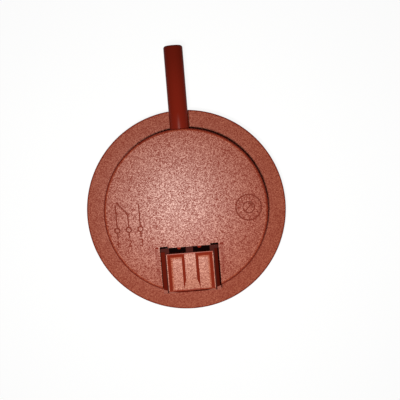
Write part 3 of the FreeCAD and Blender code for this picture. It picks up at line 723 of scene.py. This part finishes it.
class SWITCH_OT_metals(bpy.types.Operator):
    """Finish the terminals, springs, screw and contacts"""
    bl_idname = "switch.metals"
    bl_label = "Finish Metal Parts"

    def execute(self, context):
        terminal_brass = metal("terminal_brass_rolled", (0.58, 0.40, 0.16), (0.42, 0.27, 0.10),
                               0.22, 0.05 * MM, strip_painted_shade)
        dress(terminal_brass, "terminal_common", "terminal_closed", "terminal_open", "pivot_bracket",
              "terminal_rivets")
        adjuster_brass = metal("adjuster_brass_turned", (0.55, 0.38, 0.15), (0.36, 0.23, 0.09),
                               0.30, 0.08 * MM)
        dress(adjuster_brass, "range_adjuster")
        spring_bronze = metal("spring_bronze_rolled", (0.60, 0.33, 0.18), (0.45, 0.23, 0.12),
                              0.20, 0.04 * MM)
        dress(spring_bronze, "contact_arm", "snap_spring")
        coil = flattening_copy("range_spring", "range_coil")
        spring_steel = metal("spring_steel_drawn", (0.42, 0.42, 0.44), (0.28, 0.28, 0.29),
                             0.24, 0.05 * MM)
        coil.data.materials.append(spring_steel)
        zinc_steel = metal("zinc_steel_plated", (0.55, 0.56, 0.60), (0.44, 0.44, 0.46),
                           0.30, 0.10 * MM)
        dress(zinc_steel, "reset_screw")
        contact_silver = metal("contact_silver_satin", (0.80, 0.79, 0.76), (0.60, 0.59, 0.56),
                               0.26, 0.05 * MM)
        dress(contact_silver, "moving_contact", "contact_closed", "contact_open")
        return {"FINISHED"}


class SWITCH_OT_date_dial(bpy.types.Operator):
    """Add the raised date dial with plain numbers at the right of the face"""
    bl_idname = "switch.date_dial"
    bl_label = "Add Date Dial"

    def execute(self, context):
        sizes = context.scene.switch_sizes
        centre = (20.0 * MM, -0.5 * MM)
        radius, stroke, relief = sizes.dial_radius, sizes.stroke, sizes.relief
        inner, thin = radius * 0.42, stroke * 0.8
        half_arrow, barb = inner * 0.60, inner * 0.75
        digit_height, digit_relief = 1.25 * MM, relief * 0.8
        shapes = [ring_ridge(centre, radius - stroke / 2, stroke, relief),
                  ring_ridge(centre, inner, thin, relief)]
        tip = (centre[0] + half_arrow, centre[1] + half_arrow)
        tail = (centre[0] - half_arrow, centre[1] - half_arrow)
        for end in (tail, (tip[0] - barb, tip[1]), (tip[0], tip[1] - barb)):
            shapes.append(line_ridge(tip, end, thin, relief))
        dial = closed_ends(new_piece("date_dial", *stacked(shapes)))
        digits = []
        for month in range(12):
            turn = math.radians(60 - 30 * month)
            reach = (radius + inner) / 2
            place = (centre[0] + math.cos(turn) * reach, centre[1] + math.sin(turn) * reach)
            digits.append(numeral(str(month + 1), place, digit_height, digit_relief, turn - math.pi / 2))
        with_numerals(dial, digits)
        finish_mark(dial)
        return {"FINISHED"}


class SWITCH_OT_contact_diagram(bpy.types.Operator):
    """Add the raised diagram of the changeover contact with plain pole numbers at the left of the face"""
    bl_idname = "switch.contact_diagram"
    bl_label = "Add Contact Diagram"

    def execute(self, context):
        sizes = context.scene.switch_sizes
        stroke, relief = sizes.stroke, sizes.relief
        left, pitch, base = -22.4 * MM, 3.7 * MM, -4.6 * MM
        ring, lead, contact = 0.8 * MM, 2.6 * MM, 8.0 * MM
        knee_rise, tip_rise, tip_gap = 5.0 * MM, 9.0 * MM, 0.3 * MM
        digit_drop, digit_height = 4.4 * MM, 2.4 * MM
        poles = [(left + pitch * index, base) for index in range(3)]
        shapes = [ring_ridge(pole, ring, stroke, relief, 28) for pole in poles]
        shapes += [line_ridge((x, y - ring), (x, y - lead), stroke, relief) for x, y in poles]
        closed, middle, opened = poles
        knee = (middle[0], base + knee_rise)
        shapes.append(line_ridge((middle[0], base + ring), knee, stroke, relief))
        shapes.append(line_ridge(knee, (closed[0] + tip_gap, base + tip_rise), stroke, relief))
        for x, y in (closed, opened):
            shapes.append(line_ridge((x, y + ring), (x, y + contact), stroke, relief))
        diagram = closed_ends(new_piece("contact_diagram", *stacked(shapes)))
        digits = [numeral(str(index + 1), (x, y - digit_drop), digit_height, relief)
                  for index, (x, y) in enumerate(poles)]
        with_numerals(diagram, digits)
        finish_mark(diagram)
        return {"FINISHED"}


def floor_material(colour):
    """Pale paper that takes the shadow, and is mostly lit from within for the camera, mirrors and glass."""
    shade = Shade("floor_paper")
    grain = shade.noise(1.5 * MM, 3.0)
    shade.feed("Base Color", shade.mix(grain, tuple(colour), scaled(colour, 1.02)))
    shade.set(Roughness=0.9)
    path = shade.add("ShaderNodeLightPath", {}, {}, None)
    seen = Sock(shade, path.outputs["Is Camera Ray"])
    for ray in ("Is Glossy Ray", "Is Transmission Ray"):
        seen = seen.maths("MAXIMUM", Sock(shade, path.outputs[ray]))
    glow = shade.add("ShaderNodeEmission", {}, {"Color": (1, 1, 1, 1)})
    paper = Sock(shade, shade.shader.outputs[0])
    mixed = shade.add("ShaderNodeMixShader", {}, {0: seen * FLOOR_GLOW, 1: paper, 2: glow})
    shade.tree.links.new(mixed.socket, shade.output.inputs[0])
    return shade.material


def add_floor(colour):
    """A wide flat sheet under the switch."""
    half, low = FLOOR_HALF_WIDTH, cad_low.z
    corners = np.array([[-half, -half, low], [half, -half, low], [half, half, low], [-half, half, low]])
    floor = new_piece("floor", corners, np.array([[0, 1, 2, 3]]))
    floor.data.materials.append(floor_material(colour))


def add_lamp(name, place, target, size, power, colour, spread):
    """A square soft lamp at a place, turned towards a target; its light thins out over an angle of spread."""
    lamp = bpy.data.lights.new(name, "AREA")
    lamp.size = size
    lamp.energy = power
    lamp.color = colour
    lamp.spread = spread
    holder = bpy.data.objects.new(name, lamp)
    holder.location = place
    holder.rotation_mode = "QUATERNION"
    holder.rotation_quaternion = (Vector(target) - Vector(place)).to_track_quat("-Z", "Y")
    bpy.context.scene.collection.objects.link(holder)


def photo_axes():
    """The camera's right, up and backward directions: turned about Z, then tipped towards the spigot."""
    right = Vector((math.cos(CAMERA_TURN), -math.sin(CAMERA_TURN), 0))
    level = Vector((math.sin(CAMERA_TURN), math.cos(CAMERA_TURN), 0))
    back = Vector((0, 0, 1)) * math.cos(CAMERA_TILT) + level * math.sin(CAMERA_TILT)
    return right, back.cross(right), back


def camera_place():
    """Where the camera is, and a pixel's length at the flange, so that the flange is as in the photo."""
    right, _, back = photo_axes()
    level = Vector((-right.y, right.x, 0))
    per_pixel = 2 * FLANGE_RADIUS / FLANGE_PIXELS
    middle = PHOTO_PIXELS / 2
    shift = right * (middle - FLANGE_MIDDLE[0]) + level * (FLANGE_MIDDLE[1] - middle)
    target = shift * per_pixel + Vector((0, 0, FLANGE_HEIGHT))
    return target + back * CAMERA_DISTANCE, per_pixel


def add_camera():
    """The camera of the photo, over the face."""
    right, upward, back = photo_axes()
    place, per_pixel = camera_place()
    camera = bpy.data.objects.new("camera", bpy.data.cameras.new("camera"))
    camera.data.sensor_width = SENSOR_WIDTH
    camera.data.lens = SENSOR_WIDTH * CAMERA_DISTANCE / (per_pixel * PHOTO_PIXELS)
    camera.data.clip_start = 0.01
    axes = Matrix((right, upward, back)).transposed().to_4x4()
    camera.matrix_world = Matrix.Translation(place) @ axes
    bpy.context.scene.collection.objects.link(camera)
    bpy.context.scene.camera = camera


def add_room(strength):
    """Even white light from all round."""
    world = bpy.data.worlds.new("room")
    world.use_nodes = True
    background = world.node_tree.nodes["Background"]
    background.inputs["Color"].default_value = (1, 1, 1, 1)
    background.inputs["Strength"].default_value = strength
    bpy.context.scene.world = world


class SWITCH_OT_stage(bpy.types.Operator):
    """Add the floor, the light and the camera"""
    bl_idname = "switch.stage"
    bl_label = "Add Stage"

    def execute(self, context):
        add_floor(context.scene.switch_colours.floor)
        right, upward, _ = photo_axes()
        place, _ = camera_place()
        flash = place - right * FLASH_LEFT - upward * FLASH_DOWN
        add_lamp("key", flash, FLASH_AIM, FLASH_SIZE, FLASH_POWER, FLASH_COLOUR, FLASH_SPREAD)
        add_room(ROOM_LIGHT)
        context.scene.view_settings.view_transform = "Standard"
        add_camera()
        return {"FINISHED"}


OPERATORS = (SWITCH_OT_mouldings, SWITCH_OT_seals, SWITCH_OT_metals, SWITCH_OT_date_dial,
             SWITCH_OT_contact_diagram, SWITCH_OT_stage)


class SWITCH_PT_panel(bpy.types.Panel):
    """Lists the sizes, the colours and the steps"""
    bl_idname = "SWITCH_PT_panel"
    bl_label = "Pressure Switch"
    bl_space_type = "VIEW_3D"
    bl_region_type = "UI"
    bl_category = "Switch"

    def draw(self, context):
        for group in (context.scene.switch_colours, context.scene.switch_sizes):
            for name in group.__annotations__:
                self.layout.prop(group, name)
        for operator in OPERATORS:
            self.layout.operator(operator.bl_idname)


CLASSES = (SwitchColours, SwitchSizes) + OPERATORS + (SWITCH_PT_panel,)


def register():
    for item in CLASSES:
        bpy.utils.register_class(item)
    bpy.types.Scene.switch_colours = bpy.props.PointerProperty(type=SwitchColours)
    bpy.types.Scene.switch_sizes = bpy.props.PointerProperty(type=SwitchSizes)


def unregister():
    del bpy.types.Scene.switch_sizes
    del bpy.types.Scene.switch_colours
    for item in reversed(CLASSES):
        bpy.utils.unregister_class(item)


def main():
    """Runs every step in order."""
    register()
    bpy.ops.switch.mouldings()
    bpy.ops.switch.seals()
    bpy.ops.switch.metals()
    bpy.ops.switch.date_dial()
    bpy.ops.switch.contact_diagram()
    bpy.ops.switch.stage()


if __name__ == "__main__":
    main()
